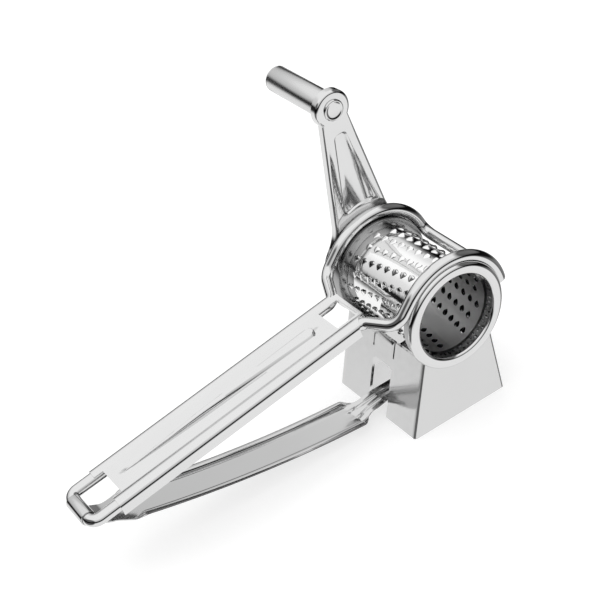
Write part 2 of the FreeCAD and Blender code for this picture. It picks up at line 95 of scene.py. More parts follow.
def add_node(tree, kind, inputs, **settings):
    """A new node with its settings, values and links."""
    node = tree.nodes.new(kind)
    for key, value in settings.items():
        setattr(node, key, value)
    feed(tree, node, inputs)
    return node


def linear(hex_colour):
    """Linear RGBA of an sRGB hex colour."""
    channels = [int(hex_colour[i:i + 2], 16) / 255 for i in (1, 3, 5)]
    return [c / 12.92 if c <= 0.04045 else ((c + 0.055) / 1.055) ** 2.4 for c in channels] + [1.0]


WAVES_PER_M, WAVE_DEPTH, DARKER = 45.0, 0.00002, 0.96
# Painted shade: a near-black tone painted into the insides of the drum's tooth holes; the tube's inner face is
# made rougher.
HOLE_PAINTED_SHADE, INSIDE_DULLER = "#141414", 0.24
SEAM = 0.000004  # points closer than this, in metres, are one


def steel(name, tint, rough, vary=0.05, wave=0.15, grain=(260.0, 260.0, 260.0), punched=False):
    """Polished stainless steel: gloss, tone and a faint waviness vary over the real surface.

    Grain is marks per metre: real polishing marks are too fine to show, so they are drawn about
    4 mm apart. A wave is 22 mm across. A punched sheet gets a painted shade, near black, in its holes and is
    duller inside.
    """
    material = bpy.data.materials.new(name)
    material.use_nodes = True
    tree = material.node_tree
    place = add_node(tree, "ShaderNodeTexCoord", {}).outputs["Object"]
    stretch = add_node(tree, "ShaderNodeMapping", {"Vector": place, "Scale": grain}).outputs["Vector"]
    fine = add_node(tree, "ShaderNodeTexNoise", {
        "Vector": stretch, "Scale": 1.0, "Detail": 4.0}).outputs["Fac"]
    broad = add_node(tree, "ShaderNodeTexNoise", {
        "Vector": place, "Scale": WAVES_PER_M, "Detail": 2.0}).outputs["Fac"]
    gloss = add_node(tree, "ShaderNodeMapRange", {
        "Value": fine, "To Min": max(rough - vary, 0.02), "To Max": rough + vary}).outputs["Result"]
    colour = linear(tint)
    tone = add_node(tree, "ShaderNodeMix", {
        "Factor": broad, "A": [c * DARKER for c in colour[:3]] + [1.0], "B": colour},
        data_type="RGBA").outputs["Result"]
    # Painted shade: the hood's underside and the hole's inner edge are mixed toward near black for the shade
    # inside the holes.
    if punched:
        pocket = add_node(tree, "ShaderNodeAttribute", {}, attribute_name="pocket").outputs["Fac"]
        inside = add_node(tree, "ShaderNodeAttribute", {}, attribute_name="inside").outputs["Fac"]
        tone = add_node(tree, "ShaderNodeMix", {
            "Factor": pocket, "A": tone, "B": linear(HOLE_PAINTED_SHADE)}, data_type="RGBA").outputs["Result"]
        gloss = add_node(tree, "ShaderNodeMath", {
            0: inside, 1: INSIDE_DULLER, 2: gloss}, operation="MULTIPLY_ADD").outputs["Value"]
    bump = add_node(tree, "ShaderNodeBump", {"Height": broad, "Strength": wave, "Distance": WAVE_DEPTH})
    feed(tree, tree.nodes["Principled BSDF"], {
        "Metallic": 1.0, "Base Color": tone, "Roughness": gloss, "Normal": bump.outputs["Normal"]})
    return material


def placed(points):
    """Points in mm about the drum's middle, as points of the row frame in metres."""
    return [(Vector(p) + DRUM) / 1000 for p in points]


def new_object(name, points, faces):
    """Object at the origin with a mesh of points in metres."""
    mesh = bpy.data.meshes.new(name)
    mesh.from_pydata(points, [], faces)
    thing = bpy.data.objects.new(name, mesh)
    bpy.context.scene.collection.objects.link(thing)
    return thing


def finish_piece(thing, material, body, replaced, sharp=40.0):
    """Closes a piece's seams, coats it, and hangs it on its body in the CAD nodes' place."""
    solid = bmesh.new()
    solid.from_mesh(thing.data)
    bmesh.ops.remove_doubles(solid, verts=solid.verts, dist=SEAM)
    bmesh.ops.recalc_face_normals(solid, faces=solid.faces)
    solid.to_mesh(thing.data)
    solid.free()
    thing.data.materials.clear()
    thing.data.materials.append(material)
    thing.data.shade_smooth()
    thing.data.set_sharp_from_angle(angle=math.radians(sharp))
    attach(thing, body)
    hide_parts(*replaced)
    return thing


def arc(cx, cy, radius, start, end, count):
    """Points of an arc in a plane, angles in degrees."""
    angles = [math.radians(start + (end - start) * i / count) for i in range(count + 1)]
    return [(cx + radius * math.cos(a), cy + radius * math.sin(a)) for a in angles]


def rounded(points, radii, count=10):
    """Points of a polyline whose inner corners are arcs."""
    out = [points[0]]
    for i in range(1, len(points) - 1):
        before = (points[i - 1] - points[i]).normalized()
        after = (points[i + 1] - points[i]).normalized()
        half = before.angle(after) / 2
        reach = radii[i - 1] / math.tan(half)
        middle = points[i] + (before + after).normalized() * (radii[i - 1] / math.sin(half))
        a, b = points[i] + before * reach - middle, points[i] + after * reach - middle
        whole = a.angle(b)
        for k in range(count + 1):
            t = k / count
            out.append(middle + (a * math.sin((1 - t) * whole) + b * math.sin(t * whole)) / math.sin(whole))
    return out + [points[-1]]


def rod(path, radii, sides=32):
    """Closed round bar along a path, its frame carried along without twist."""
    points, faces = [], []
    way = (path[1] - path[0]).normalized()
    side = way.orthogonal().normalized()
    for i, centre in enumerate(path):
        here = (path[min(i + 1, len(path) - 1)] - path[max(i - 1, 0)]).normalized()
        side = (way.rotation_difference(here) @ side).normalized()
        way = here
        other = way.cross(side)
        for k in range(sides):
            a = 2 * math.pi * k / sides
            points.append(centre + (side * math.cos(a) + other * math.sin(a)) * radii[i])
    for i in range(len(path) - 1):
        for k in range(sides):
            n = (k + 1) % sides
            faces.append((i * sides + k, i * sides + n, (i + 1) * sides + n, (i + 1) * sides + k))
    faces.append(tuple(range(sides)))
    faces.append(tuple(range((len(path) - 1) * sides, len(path) * sides)))
    return points, faces


def loop(start, end, y, count):
    """Part of a drum loop, from one angle to another."""
    return [Vector((x, y, z)) for x, z in arc(0, 0, LOOP_R, start, end, count)]


def along_loop(degrees):
    """Unit way round a loop at an angle, anticlockwise."""
    a = math.radians(degrees)
    return Vector((-math.sin(a), 0, math.cos(a)))


leave = loop(LOOP_LEAVES, LOOP_LEAVES, -LOOP_Y, 1)[0]
corner = leave + along_loop(LOOP_LEAVES) * LEAVE_RUN
hinge_s = (HANDLE_START[0] - HINGE_X - STRAND_N * math.sin(HANDLE_SLOPE)) / math.cos(HANDLE_SLOPE)
HINGE = on_handle(hinge_s, 0, STRAND_N)
near = [leave, corner, on_handle(STRAND_START, -STRAND_Y, STRAND_N), on_handle(hinge_s, -STRAND_Y, STRAND_N)]
far = [Vector((p.x, -p.y, p.z)) for p in reversed(near)]
over = loop(LOOP_OVER, LOOP_OVER, LOOP_Y, 1)[0]
bar_corner = over - along_loop(LOOP_OVER) * BAR_RUN
bar_end = Vector((bar_corner.x, -LOOP_Y + BAR_SHORT, bar_corner.z))
path = loop(LOOP_TIP, LOOP_LEAVES, -LOOP_Y, 60)[:-1]
path += rounded(near + far, BENDS)
path += loop(LOOP_LEAVES, LOOP_OVER, LOOP_Y, 56)[1:-1]
path += rounded([over, bar_corner, bar_end], [BAR_BEND])
dome = [path[0] - along_loop(LOOP_TIP) * WIRE_R * math.sin(math.radians(t)) for t in DOME_STEPS]
dome_radii = [WIRE_R * math.cos(math.radians(t)) for t in DOME_STEPS]
points, faces = rod(dome + path, dome_radii + [WIRE_R] * len(path))
# Mirror-polished rod: thin, hard-edged dark and bright lines that follow every bend.
ROD_STEEL = steel("polished_rod", "#E2E2E2", 0.06)
finish_piece(new_object("frame_rod", placed(points), faces), ROD_STEEL, "frame", ["frame_wire"], sharp=60)


# ---------------------------------------------------------------- upper handle
# Pressed sheet, its two edges rolled down round the wire strands; a window near
# the drum and a raised bead that tapers toward the hinge stiffen and lighten it.
HANDLE_LENGTH, HANDLE_SHEET = 134.0, 0.6
ROLL_R = WIRE_R + 0.05 + HANDLE_SHEET
SIDE_DEPTH = 7.2
WINDOW_START, WINDOW_END, WINDOW_HALF = 2.3, 13.0, 7.6
BEAD_START, BEAD_END, BEAD_HALF, BEAD_TIP, BEAD_RISE = 20.6, 122.0, 3.5, 0.3, 1.8
ROLL_FROM, ROLL_START, ROLL_SKEW = 10.3, 3.0, 3.2  # the rolled edges start this far along, then slant
CUT_LENGTH, CUT_HALF = 4.5, 8.3  # the cut round the hinge barrel
HANDLE_DISH = 0.72  # the flat top lies this much below the rolled edges' crests


def thick_sheet(name, grid, keep, thickness, edge, inward=1.0, even=True):
    """Sheet metal from a grid of points: the faces kept are given thickness and soft edges."""
    columns = len(grid[0])
    faces = []
    for i in range(len(grid) - 1):
        for k in range(columns - 1):
            if keep(i, k):
                a = i * columns + k
                faces.append((a, a + 1, a + columns + 1, a + columns))
    thing = new_object(name, placed([p for row in grid for p in row]), faces)
    work = bmesh.new()
    work.from_mesh(thing.data)
    bmesh.ops.remove_doubles(work, verts=work.verts, dist=SEAM)
    bmesh.ops.delete(work, geom=[v for v in work.verts if not v.link_faces], context="VERTS")
    work.to_mesh(thing.data)
    work.free()
    solid = thing.modifiers.new("solid", "SOLIDIFY")
    solid.thickness = thickness / 1000
    solid.offset = -inward
    solid.use_even_offset = even
    solid.use_quality_normals = True
    soft = thing.modifiers.new("soft", "BEVEL")
    soft.width = edge / 1000
    soft.segments = 2
    soft.limit_method = "ANGLE"
    soft.angle_limit = math.radians(55)
    return bake(thing)


def bake(thing):
    """Replaces an object's mesh by its modifiers' result."""
    bpy.context.view_layer.update()
    whole = thing.evaluated_get(bpy.context.evaluated_depsgraph_get())
    mesh = bpy.data.meshes.new_from_object(whole)
    thing.modifiers.clear()
    thing.data = mesh
    return thing


def spread(stops, step):
    """Values from the first stop to the last, each stop hit exactly, at most one step apart."""
    values = []
    for a, b in zip(stops, stops[1:]):
        count = max(1, math.ceil((b - a) / step - 1e-6))
        values += [a + (b - a) * i / count for i in range(count)]
    return values + [stops[-1]]


def ease(t):
    """0 to 1, level at both ends."""
    t = min(max(t, 0.0), 1.0)
    return t * t * (3 - 2 * t)


def bead_half(s):
    """Half width of the raised bead: round at the drum's end, then tapering to a point."""
    if s <= BEAD_START:
        return BEAD_TIP
    if s < BEAD_START + BEAD_HALF:
        return max(BEAD_TIP, BEAD_HALF * math.sqrt(1 - ((BEAD_START + BEAD_HALF - s) / BEAD_HALF) ** 2))
    taper = (s - BEAD_START - BEAD_HALF) / (BEAD_END - BEAD_START - BEAD_HALF)
    return BEAD_HALF + (BEAD_TIP - BEAD_HALF) * taper


side = [(STRAND_Y + ROLL_R, -SIDE_DEPTH), (STRAND_Y + ROLL_R, -SIDE_DEPTH + 1.2)]
side += [(STRAND_Y + ROLL_R, -ROLL_R - 0.6)] + arc(STRAND_Y, -ROLL_R, ROLL_R, 0, 125, 20)
side += [(8.75, -0.695), (8.5, -HANDLE_DISH), (8.3, -HANDLE_DISH), (WINDOW_HALF, -HANDLE_DISH)]
BEAD_STEPS = [1.75, 1.5, 1.25, 1.0, 0.93, 0.85, 0.72, 0.55, 0.45, 0.35, 0.28, 0.2, 0.1, 0.0]
stops = [0.0, WINDOW_START, ROLL_START, ROLL_START + ROLL_SKEW, WINDOW_END]
stops += [BEAD_START + d for d in (0.0, 0.12, 0.5, 1.2, 2.2, BEAD_HALF)]
stops += [BEAD_END, HANDLE_LENGTH - CUT_LENGTH, HANDLE_LENGTH]
grid, marks = [], []
for s in spread(stops, 2.4):
    row, mark = [], []
    half = bead_half(s)
    edge_half = list(side)
    for q in BEAD_STEPS:
        if q >= 1:
            y, n = half + (q - 1) * (WINDOW_HALF - half), -HANDLE_DISH
        else:
            rise = ease((1 - q) / 0.42) * BEAD_RISE * min(1.0, half / 1.6)
            y, n = q * half, -HANDLE_DISH + (rise if BEAD_START <= s <= BEAD_END + 1 else 0.0)
        edge_half.append((y, n))
    across = [(-y, n) for y, n in edge_half] + [(y, n) for y, n in reversed(edge_half[:-1])]
    for y, n in across:
        least = 0.0
        if abs(y) > ROLL_FROM + 0.01:
            least = ROLL_START + ROLL_SKEW * min((abs(y) - ROLL_FROM) / 4.2, 1.0)
        row.append(on_handle(max(s, least), y, n))
        mark.append((s, y))
    grid.append(row)
    marks.append(mark)


def handle_kept(i, k):
    """Whether a face of the handle's grid is metal."""
    s = (marks[i][k][0] + marks[i + 1][k][0]) / 2
    y = (abs(marks[i][k][1]) + abs(marks[i][k + 1][1])) / 2
    if WINDOW_START < s < WINDOW_END and y < WINDOW_HALF:
        return False
    if y > ROLL_FROM and s < ROLL_START:
        return False
    return not (s > HANDLE_LENGTH - CUT_LENGTH and y < CUT_HALF)


# Polished sheet with a fine grain along the handle: long, clear reflections, a little soft.
HANDLE_STEEL = steel("polished_handle", "#E4E4E4", 0.10, wave=0.08, grain=(120.0, 900.0, 900.0))
handle = thick_sheet("handle_sheet", grid, handle_kept, HANDLE_SHEET, 0.12)
finish_piece(handle, HANDLE_STEEL, "frame", ["upper_handle"], sharp=35)


# ---------------------------------------------------------------- hopper
# Folded box of thicker sheet, open above for the drum and below for the cheese.
# The wall on the handle's side has the lever's slot, two slits and a tongue that
# runs up to the handle; the far wall goes on up round the drum.
HOPPER_SHEET = 1.5
MOUTH_Z, HOPPER_TOP, FAR_TOP = -54.5, -16.5, -18.2
HOPPER_Y = 29.2
MOUTH_X, LEAN = (-30.5, 22.3), (0.29, -0.11)
SEAT_R = LOOP_R - WIRE_R + 0.05
SLOT_HALF, SLOT_TOP, SLIT_BOTTOM, SLIT = 7.0, -29.3, -24.5, 0.9
CORNER = 1.5


def wall_x(wall, z):
    """Where the handle's side (wall 0) or the far side (wall 1) stands at a height."""
    return MOUTH_X[wall] + LEAN[wall] * (z - MOUTH_Z)


def end_wall_x(share, z):
    """Where a share of the way along an end wall lies at a height."""
    x0, x1 = wall_x(0, z) + CORNER, wall_x(1, z) - CORNER
    return x0 + (x1 - x0) * share


def hopper_ring():
    """Stations round the walls: (wall, y, step in x, share of the way along an end wall, which is wall 2)."""
    inner_y = HOPPER_Y - CORNER
    across = spread([-inner_y, -SLOT_HALF - SLIT, -SLOT_HALF, SLOT_HALF, SLOT_HALF + SLIT, inner_y], 1.5)
    along = spread([0.0, 1.0], 0.022)
    angles = [math.radians(a) for a in range(15, 90, 15)]
    bend = [(CORNER * math.sin(a), CORNER * (1 - math.cos(a))) for a in angles]
    ring = [(0, y, 0.0, 0.0) for y in across]
    ring += [(0, inner_y + dy, dx, 0.0) for dy, dx in bend]
    ring += [(2, HOPPER_Y, 0.0, t) for t in along]
    ring += [(1, inner_y + dy, -dx, 0.0) for dy, dx in reversed(bend)]
    ring += [(1, y, 0.0, 0.0) for y in reversed(across)]
    ring += [(1, -inner_y - dy, -dx, 0.0) for dy, dx in bend]
    ring += [(2, -HOPPER_Y, 0.0, t) for t in reversed(along)]
    ring += [(0, -inner_y - dy, dx, 0.0) for dy, dx in reversed(bend)]
    return ring + ring[:1]


def seat_top(x):
    """Height that the front and rear walls reach at x: the drum's round seat is cut out."""
    if abs(x) >= SEAT_R:
        return HOPPER_TOP
    return min(HOPPER_TOP, -math.sqrt(SEAT_R ** 2 - x * x))


levels = spread([MOUTH_Z, SLOT_TOP - 2.2, SLOT_TOP - 0.9, SLOT_TOP, SLIT_BOTTOM, HOPPER_TOP], 2.4)
ring = hopper_ring()
grid, marks = [], []
for z in levels:
    row, mark = [], []
    share = (z - MOUTH_Z) / (HOPPER_TOP - MOUTH_Z)
    for wall, y, dx, t in ring:
        here = z
        if wall == 2:
            x = end_wall_x(t, z)
            for _ in range(6):
                here = MOUTH_Z + share * (seat_top(x) - MOUTH_Z)
                x = end_wall_x(t, here)
        else:
            if wall == 1:
                here = MOUTH_Z + share * (FAR_TOP - MOUTH_Z)
            x = wall_x(wall, here) + dx
        row.append((x, y, here))
        mark.append((wall, y, z))
    grid.append(row)
    marks.append(mark)


def hopper_kept(i, k):
    """Whether a face of the hopper's grid is metal: the slot and the two slits are cut out."""
    wall, y, z = marks[i][k]
    if wall != 0 or marks[i][k + 1][0] != 0:
        return True
    y = abs(y + marks[i][k + 1][1]) / 2
    z = (z + marks[i + 1][k][2]) / 2
    if y < SLOT_HALF and z < SLOT_TOP - 0.9:
        return False
    if y < SLOT_HALF - 1.4 and z < SLOT_TOP:
        return False
    return not (SLOT_HALF < y < SLOT_HALF + SLIT and z > SLIT_BOTTOM)


# Thicker sheet, tumble-polished after folding: brighter and softer than the rod, slightly rippled.
HOPPER_STEEL = steel("polished_hopper", "#DADADA", 0.13, grain=(300.0, 300.0, 300.0), wave=0.2)
hopper = thick_sheet("hopper_box", grid, hopper_kept, HOPPER_SHEET, 0.22, inward=-1.0)
for vertex in hopper.data.vertices:  # the mouth's rim stands flat on the table
    vertex.co.z = max(vertex.co.z, (DRUM.z + MOUTH_Z) / 1000)


def joined(target, *others):
    """One mesh object out of several; the first keeps its name."""
    work = bmesh.new()
    for thing in (target, *others):
        work.from_mesh(thing.data)
    work.to_mesh(target.data)
    work.free()
    for thing in others:
        bpy.data.objects.remove(thing)
    return target


under = on_handle(0.4, 0, -HANDLE_SHEET - 0.1)
fold = on_handle(2.2, 0, -HANDLE_SHEET - 0.1)
root = Vector((wall_x(0, HOPPER_TOP - 0.3) + 0.1, 0, HOPPER_TOP - 0.3))
across = spread([-SLOT_HALF, SLOT_HALF], 1.0)
rows = [[(p.x, y, p.z) for y in across] for p in rounded([fold, under, root], [2.0], 6)]
tongue = thick_sheet("tongue", rows, lambda i, k: True, HOPPER_SHEET, 0.2, inward=-1.0)
GUARD_R, GUARD_HALF, GUARD_ARC = 25.35, 21.0, (-46.5, -6.0)
rows = []
for angle in spread(GUARD_ARC, 1.5):
    x, z = GUARD_R * math.cos(math.radians(angle)), GUARD_R * math.sin(math.radians(angle))
    rows.append([(x, y, z) for y in spread([-GUARD_HALF, GUARD_HALF], 3.0)])
guard = thick_sheet("guard", rows, lambda i, k: True, HOPPER_SHEET, 0.2)
joined(hopper, tongue, guard)
finish_piece(hopper, HOPPER_STEEL, "frame", ["hopper"], sharp=35)


# ---------------------------------------------------------------- lever
# Pressed trough with out-turned edges; at one end it is rolled into a barrel
# round the frame's U-bend, at the other it necks to a ribbed arm for the plate.
LEVER_SHEET = 0.6
LEVER_START, LEVER_FALL, LEVER_BOW = (-170.0, -25.2), math.radians(17.4), 584.0
LEVER_LENGTH, LEVER_HALF, LEVER_DEPTH, LEVER_FLANGE, ARM_HALF = 133.0, 8.4, 2.3, 2.7, 5.4
PLATE_X, PLATE_Z = (-13.5, 14.5), -47.5
BARREL_BORE, BARREL_HALF = WIRE_R + 0.06, 6.8
BARREL_R = BARREL_BORE + LEVER_SHEET
WRAP = math.radians(27)  # how far the tongue goes round the barrel
TONGUE_HALF, EARS, FILLET, RIB_RISE = 6.55, 3.3, 0.25, 0.8
EARS_AT, SHOULDER_AT, TROUGH_AT = -169.0, -161.0, -160.5  # where each change begins, along x
RIB_AT, NECK_AT, TROUGH_END, RIB_END = -46.0, -44.5, -44.0, -24.0


def lever_point(d, n):
    """d from the trough's start toward the drum along its bow, n above its floor."""
    now = LEVER_FALL - d / LEVER_BOW
    return Vector((
        LEVER_START[0] + LEVER_BOW * (math.sin(LEVER_FALL) - math.sin(now)) + n * math.sin(now), 0,
        LEVER_START[1] - LEVER_BOW * (math.cos(now) - math.cos(LEVER_FALL)) + n * math.cos(now)))


spine = [Vector((HINGE.x - BARREL_R * math.sin(WRAP), 0, HINGE.z - BARREL_R * math.cos(WRAP)))]
spine += [lever_point(d, 0) for d in spread([0.4, LEVER_LENGTH - 5.4], 3.0)]
arm_root = [lever_point(LEVER_LENGTH - 5.3, 0), lever_point(LEVER_LENGTH - 3.4, 0), Vector((-36.0, 0, -48.6))]
spine += rounded(arm_root, [9.0], 5)[1:]
spine += [Vector((-28.0, 0, PLATE_Z)), Vector((PLATE_X[1] - 3, 0, PLATE_Z))]
line = []
for a, b in zip(spine, spine[1:]):
    count = max(1, int((b - a).length / 1.1))
    line += [a.lerp(b, i / count) for i in range(count)]
line.append(spine[-1])


def lever_section(x):
    """Half width, rim height, rim width and rib height where the lever is at x."""
    rise = ease((x - TROUGH_AT) / 4.0) * (1 - ease((x - TROUGH_END) / 4.5))
    half = TONGUE_HALF + EARS * ease((x - EARS_AT) / 10.0) - (LEVER_HALF - 6.9) * ease((x - SHOULDER_AT) / 6.0)
    half = half - (half - ARM_HALF) * ease((x - NECK_AT) / 8.5)
    rib = ease((x - RIB_AT) / 9.0) * (1 - ease((x - RIB_END) / 5.0))
    rim = FILLET + (LEVER_FLANGE - LEVER_SHEET - FILLET) * rise
    return half, (LEVER_DEPTH - LEVER_SHEET) * rise, rim, RIB_RISE * rib


rows = []
for i, p in enumerate(line):
    way = (line[min(i + 1, len(line) - 1)] - line[max(i - 1, 0)]).normalized()
    upward = Vector((-way.z, 0, way.x))
    half, wall, flange, rib = lever_section(p.x)
    foot = half - 0.6 - 0.2 * wall
    side = half - foot
    # Half of the section, from its middle outward: rib, floor, bend, flank and turned-out edge.
    outline = [(0.0, 0.0), (0.16 * half, 0.0), (0.27 * half, 0.0), (0.33 * half, rib * 0.6),
               (0.38 * half, rib), (0.43 * half, rib * 0.6), (0.49 * half, 0.0), (0.62 * half, 0.0)]
    outline += [(foot - 0.8, 0.0), (foot - 0.2, wall * 0.03), (foot + 0.25 * side, wall * 0.12),
                (foot + 0.55 * side, wall * 0.3), (foot + 0.8 * side, wall * 0.6),
                (foot + 0.92 * side, wall * 0.82), (half, wall * 0.95)]
    outline += [(half + flange * 0.14, wall), (half + flange * 0.5, wall),
                (half + flange * 0.85, wall * 0.985), (half + flange * 0.97, wall * 0.95),
                (half + flange, wall * 0.87)]
    full = [(-y, n) for y, n in reversed(outline[1:])] + outline
    rows.append([p + Vector((0, y, 0)) + upward * n for y, n in full])
# The same sheet as the handle, its tint greyer than the handle's as painted shade for the shade it lies in
# under the handle: one long reflection in each flank.
SHADED_LEVER_STEEL = steel("polished_lever_painted_shade", "#D6D6D6", 0.10, grain=(120.0, 900.0, 900.0))
lever = thick_sheet("lever_trough", rows, lambda i, k: True, LEVER_SHEET, 0.1, even=False)


def lathe(name, profile, x=0.0, z=0.0, sides=128, axis="Y"):
    """Ring or disc turned about a line along Y (or Z) from a closed outline of (radius, place)."""
    points, faces = [], []
    count = len(profile)
    for k in range(sides):
        a = 2 * math.pi * k / sides
        for r, along in profile:
            if axis == "Y":
                points.append((x + r * math.cos(a), along, z + r * math.sin(a)))
            else:
                points.append((x + r * math.cos(a), z + r * math.sin(a), along))
    for k in range(sides):
        n = (k + 1) % sides
        for i in range(count):
            j = (i + 1) % count
            faces.append((k * count + i, k * count + j, n * count + j, n * count + i))
    return new_object(name, placed(points), faces)


def soft_outline(corners, radius, count=4):
    """Closed outline of (r, along) corners with every corner rounded."""
    out = []
    total = len(corners)
    for i in range(total):
        p = Vector((corners[i][0], 0, corners[i][1]))
        a = Vector((corners[i - 1][0], 0, corners[i - 1][1]))
        b = Vector((corners[(i + 1) % total][0], 0, corners[(i + 1) % total][1]))
        if p.x < 0.001:
            out.append((p.x, p.z))
            continue
        reach = min(radius, (a - p).length * 0.45, (b - p).length * 0.45)
        bent = rounded([a, p, b], [reach * math.tan((a - p).angle(b - p) / 2)], count)[1:-1]
        out += [(q.x, q.z) for q in bent]
    return out


sleeve = [(BARREL_R, -BARREL_HALF), (BARREL_R, BARREL_HALF), (BARREL_BORE, BARREL_HALF),
          (BARREL_BORE, -BARREL_HALF)]
joined(lever, lathe("barrel", soft_outline(sleeve, 0.2), HINGE.x, HINGE.z, 64))
finish_piece(lever, SHADED_LEVER_STEEL, "lever", ["lower_handle"], sharp=35)


# ---------------------------------------------------------------- press plate
# A saddle of 1 mm sheet bent to the drum's curve presses the cheese against the
# teeth; two rivets, upset from below, hold it on the lever's arm.
PLATE_R, PLATE_HALF, PLATE_SHEET = 23.2, 21.5, 1.0
PLATE_RIVET_AT, PLATE_RIVET_R = 4.5, 1.25
plate_mid = sum(PLATE_X) / 2
centre_z = PLATE_Z + LEVER_SHEET + PLATE_SHEET + PLATE_R
rows = []
for x in spread(PLATE_X, 1.2):
    z = centre_z - math.sqrt(PLATE_R ** 2 - (x - plate_mid) ** 2)
    rows.append([(x, y, z) for y in spread([-PLATE_HALF, PLATE_HALF], 2.0)])
plate = thick_sheet("plate_saddle", rows, lambda i, k: True, PLATE_SHEET, 0.2)
# The plate and its rivet heads share the lever's tint and its painted shade.
finish_piece(plate, SHADED_LEVER_STEEL, "lever", ["press_plate"], sharp=35)
heads = []
for x in (plate_mid - PLATE_RIVET_AT, plate_mid + PLATE_RIVET_AT):
    outline = [(0.0, PLATE_Z - 0.9), (1.5, PLATE_Z - 0.82), (2.1, PLATE_Z - 0.5), (2.4, PLATE_Z),
               (PLATE_RIVET_R, PLATE_Z), (PLATE_RIVET_R, PLATE_Z + 2.2), (0.0, PLATE_Z + 2.2)]
    heads.append(lathe("head", outline, x, 0.0, 32, "Z"))
plate_heads = finish_piece(joined(*heads), SHADED_LEVER_STEEL, "lever", ["press_plate_rivets"], sharp=50)
plate_heads.name = "plate_rivet_heads"


# ---------------------------------------------------------------- drum
# Punched tube of thin sheet: each tooth is a half-cone pushed outward with its
# cutting edge open on one side. One row's width is left plain for the seam.
DRUM_R, DRUM_SHEET = 20.4, 0.8
ROWS, TEETH, PITCH, FIRST_ROW, ROW_TWIST = 18, 9, 5.0, -54.3, 0.48
ROW_STEP = 360.0 / ROWS
TOOTH_RISE, HOOD_SHEET, HOOD_EDGE, HOOD_LOW, MOUTH_AT = 1.15, 0.32, 0.3, 0.08, -0.8
HOLE_TIP, HOLE_FOOT, HOLE_MIDDLE, HOLE_HALF, LOBE_FROM = 1.9, -1.4, -0.05, 1.45, 0.62
TUBE_ENDS = (-25.5, 29.4)
V_STEPS, U_STEPS, HOOD_ALONG, HOOD_ROUND = 10, 8, 7, 8
RINGS = (0.0, 0.07, 0.4, 1.0)  # shares of the way from a hole's edge to its cell's border


def on_drum(u, v, lift):
    """Point on a drum cell: u mm round from its middle, v mm along, lift above the outside."""
    a = u / DRUM_R + math.radians(ROW_TWIST) * v
    return Vector(((DRUM_R + lift) * math.cos(a), v, (DRUM_R + lift) * math.sin(a)))


def hole_half(u):
    """Half width of a tooth's hole at u: pointed at the high end, lobed at the low end."""
    t = (HOLE_TIP - u) / (HOLE_TIP - HOLE_FOOT)
    if not 0.0 < t < 1.0:
        return 0.0
    lobe = max(0.0, (t - LOBE_FROM) / (1 - LOBE_FROM))
    return HOLE_HALF * min(1.0, 1.75 * t ** 0.8) * math.sqrt(max(0.0, 1 - lobe ** 2))


def cell_border():
    """Points round one tooth's patch of the tube, (round, along) from its middle."""
    half_u = math.radians(ROW_STEP / 2) * DRUM_R
    half_v = PITCH / 2
    vs = [-half_v + PITCH * i / V_STEPS for i in range(V_STEPS + 1)]
    us = [-half_u + 2 * half_u * i / U_STEPS for i in range(U_STEPS + 1)]
    border = [(half_u, v) for v in vs[:-1]] + [(u, half_v) for u in reversed(us[1:])]
    border += [(-half_u, v) for v in reversed(vs[1:])] + [(u, -half_v) for u in us[:-1]]
    return border


def hole_point(u, v):
    """Edge of the hole on the way from its middle to a border point."""
    a = math.atan2(v, u)
    low, high = 0.02, 2.4
    for _ in range(24):
        reach = (low + high) / 2
        pu, pv = HOLE_MIDDLE + reach * math.cos(a), reach * math.sin(a)
        if abs(pv) < hole_half(pu):
            low = reach
        else:
            high = reach
    return HOLE_MIDDLE + low * math.cos(a), low * math.sin(a)


# One tooth's patch: both faces of the sheet round its hole, and the hole's wall between them.
border = cell_border()
points, faces = [], []
for surface in (0, 1):
    for share in RINGS:
        for u, v in border:
            hu, hv = hole_point(u, v)
            points.append(on_drum(hu + (u - hu) * share, hv + (v - hv) * share, -surface * DRUM_SHEET))
count, layers = len(border), len(RINGS)
for surface in (0, 1):
    for i in range(layers - 1):
        here = (surface * layers + i) * count
        for k in range(count):
            n = (k + 1) % count
            faces.append((here + k, here + n, here + count + n, here + count + k))
for k in range(count):
    n = (k + 1) % count
    faces.append((k, n, layers * count + n, layers * count + k))
# Its hood: an outer and an inner skin over the hole, joined at the tip and round the open mouth.
for shell in (0.0, HOOD_SHEET):
    for i in range(HOOD_ALONG + 1):
        u = HOLE_TIP + 0.12 + (MOUTH_AT - HOLE_TIP - 0.12) * i / HOOD_ALONG
        half = max(hole_half(u), 0.05) + HOOD_EDGE - shell
        rise = TOOTH_RISE * (HOOD_LOW + (1 - HOOD_LOW) * i / HOOD_ALONG) - shell
        for k in range(HOOD_ROUND + 1):
            a = math.pi * k / HOOD_ROUND
            points.append(on_drum(u, half * math.cos(a), rise * math.sin(a) - 0.02))
base, wide = 2 * layers * count, HOOD_ROUND + 1
skin = (HOOD_ALONG + 1) * wide
for i in range(HOOD_ALONG):
    for k in range(HOOD_ROUND):
        q = base + i * wide + k
        faces.append((q, q + 1, q + wide + 1, q + wide))
        faces.append((q + skin, q + skin + wide, q + skin + wide + 1, q + skin + 1))
for k in range(HOOD_ROUND):
    for q in (base + k, base + HOOD_ALONG * wide + k):
        faces.append((q, q + 1, q + skin + 1, q + skin))
cell = new_object("tooth_cell", [p / 1000 for p in points], faces)
# Painted shade: the hood's inner skin and the inner face at the hole's edge are marked to be painted near
# black.
hole_painted_shade = [i >= base + skin or 0 <= i - layers * count < count for i in range(len(points))]
under_tube = [layers * count <= i < base for i in range(len(points))]
for name, values in (("pocket", hole_painted_shade), ("inside", under_tube)):
    cell.data.attributes.new(name, "FLOAT", "POINT").data.foreach_set("value", [float(v) for v in values])

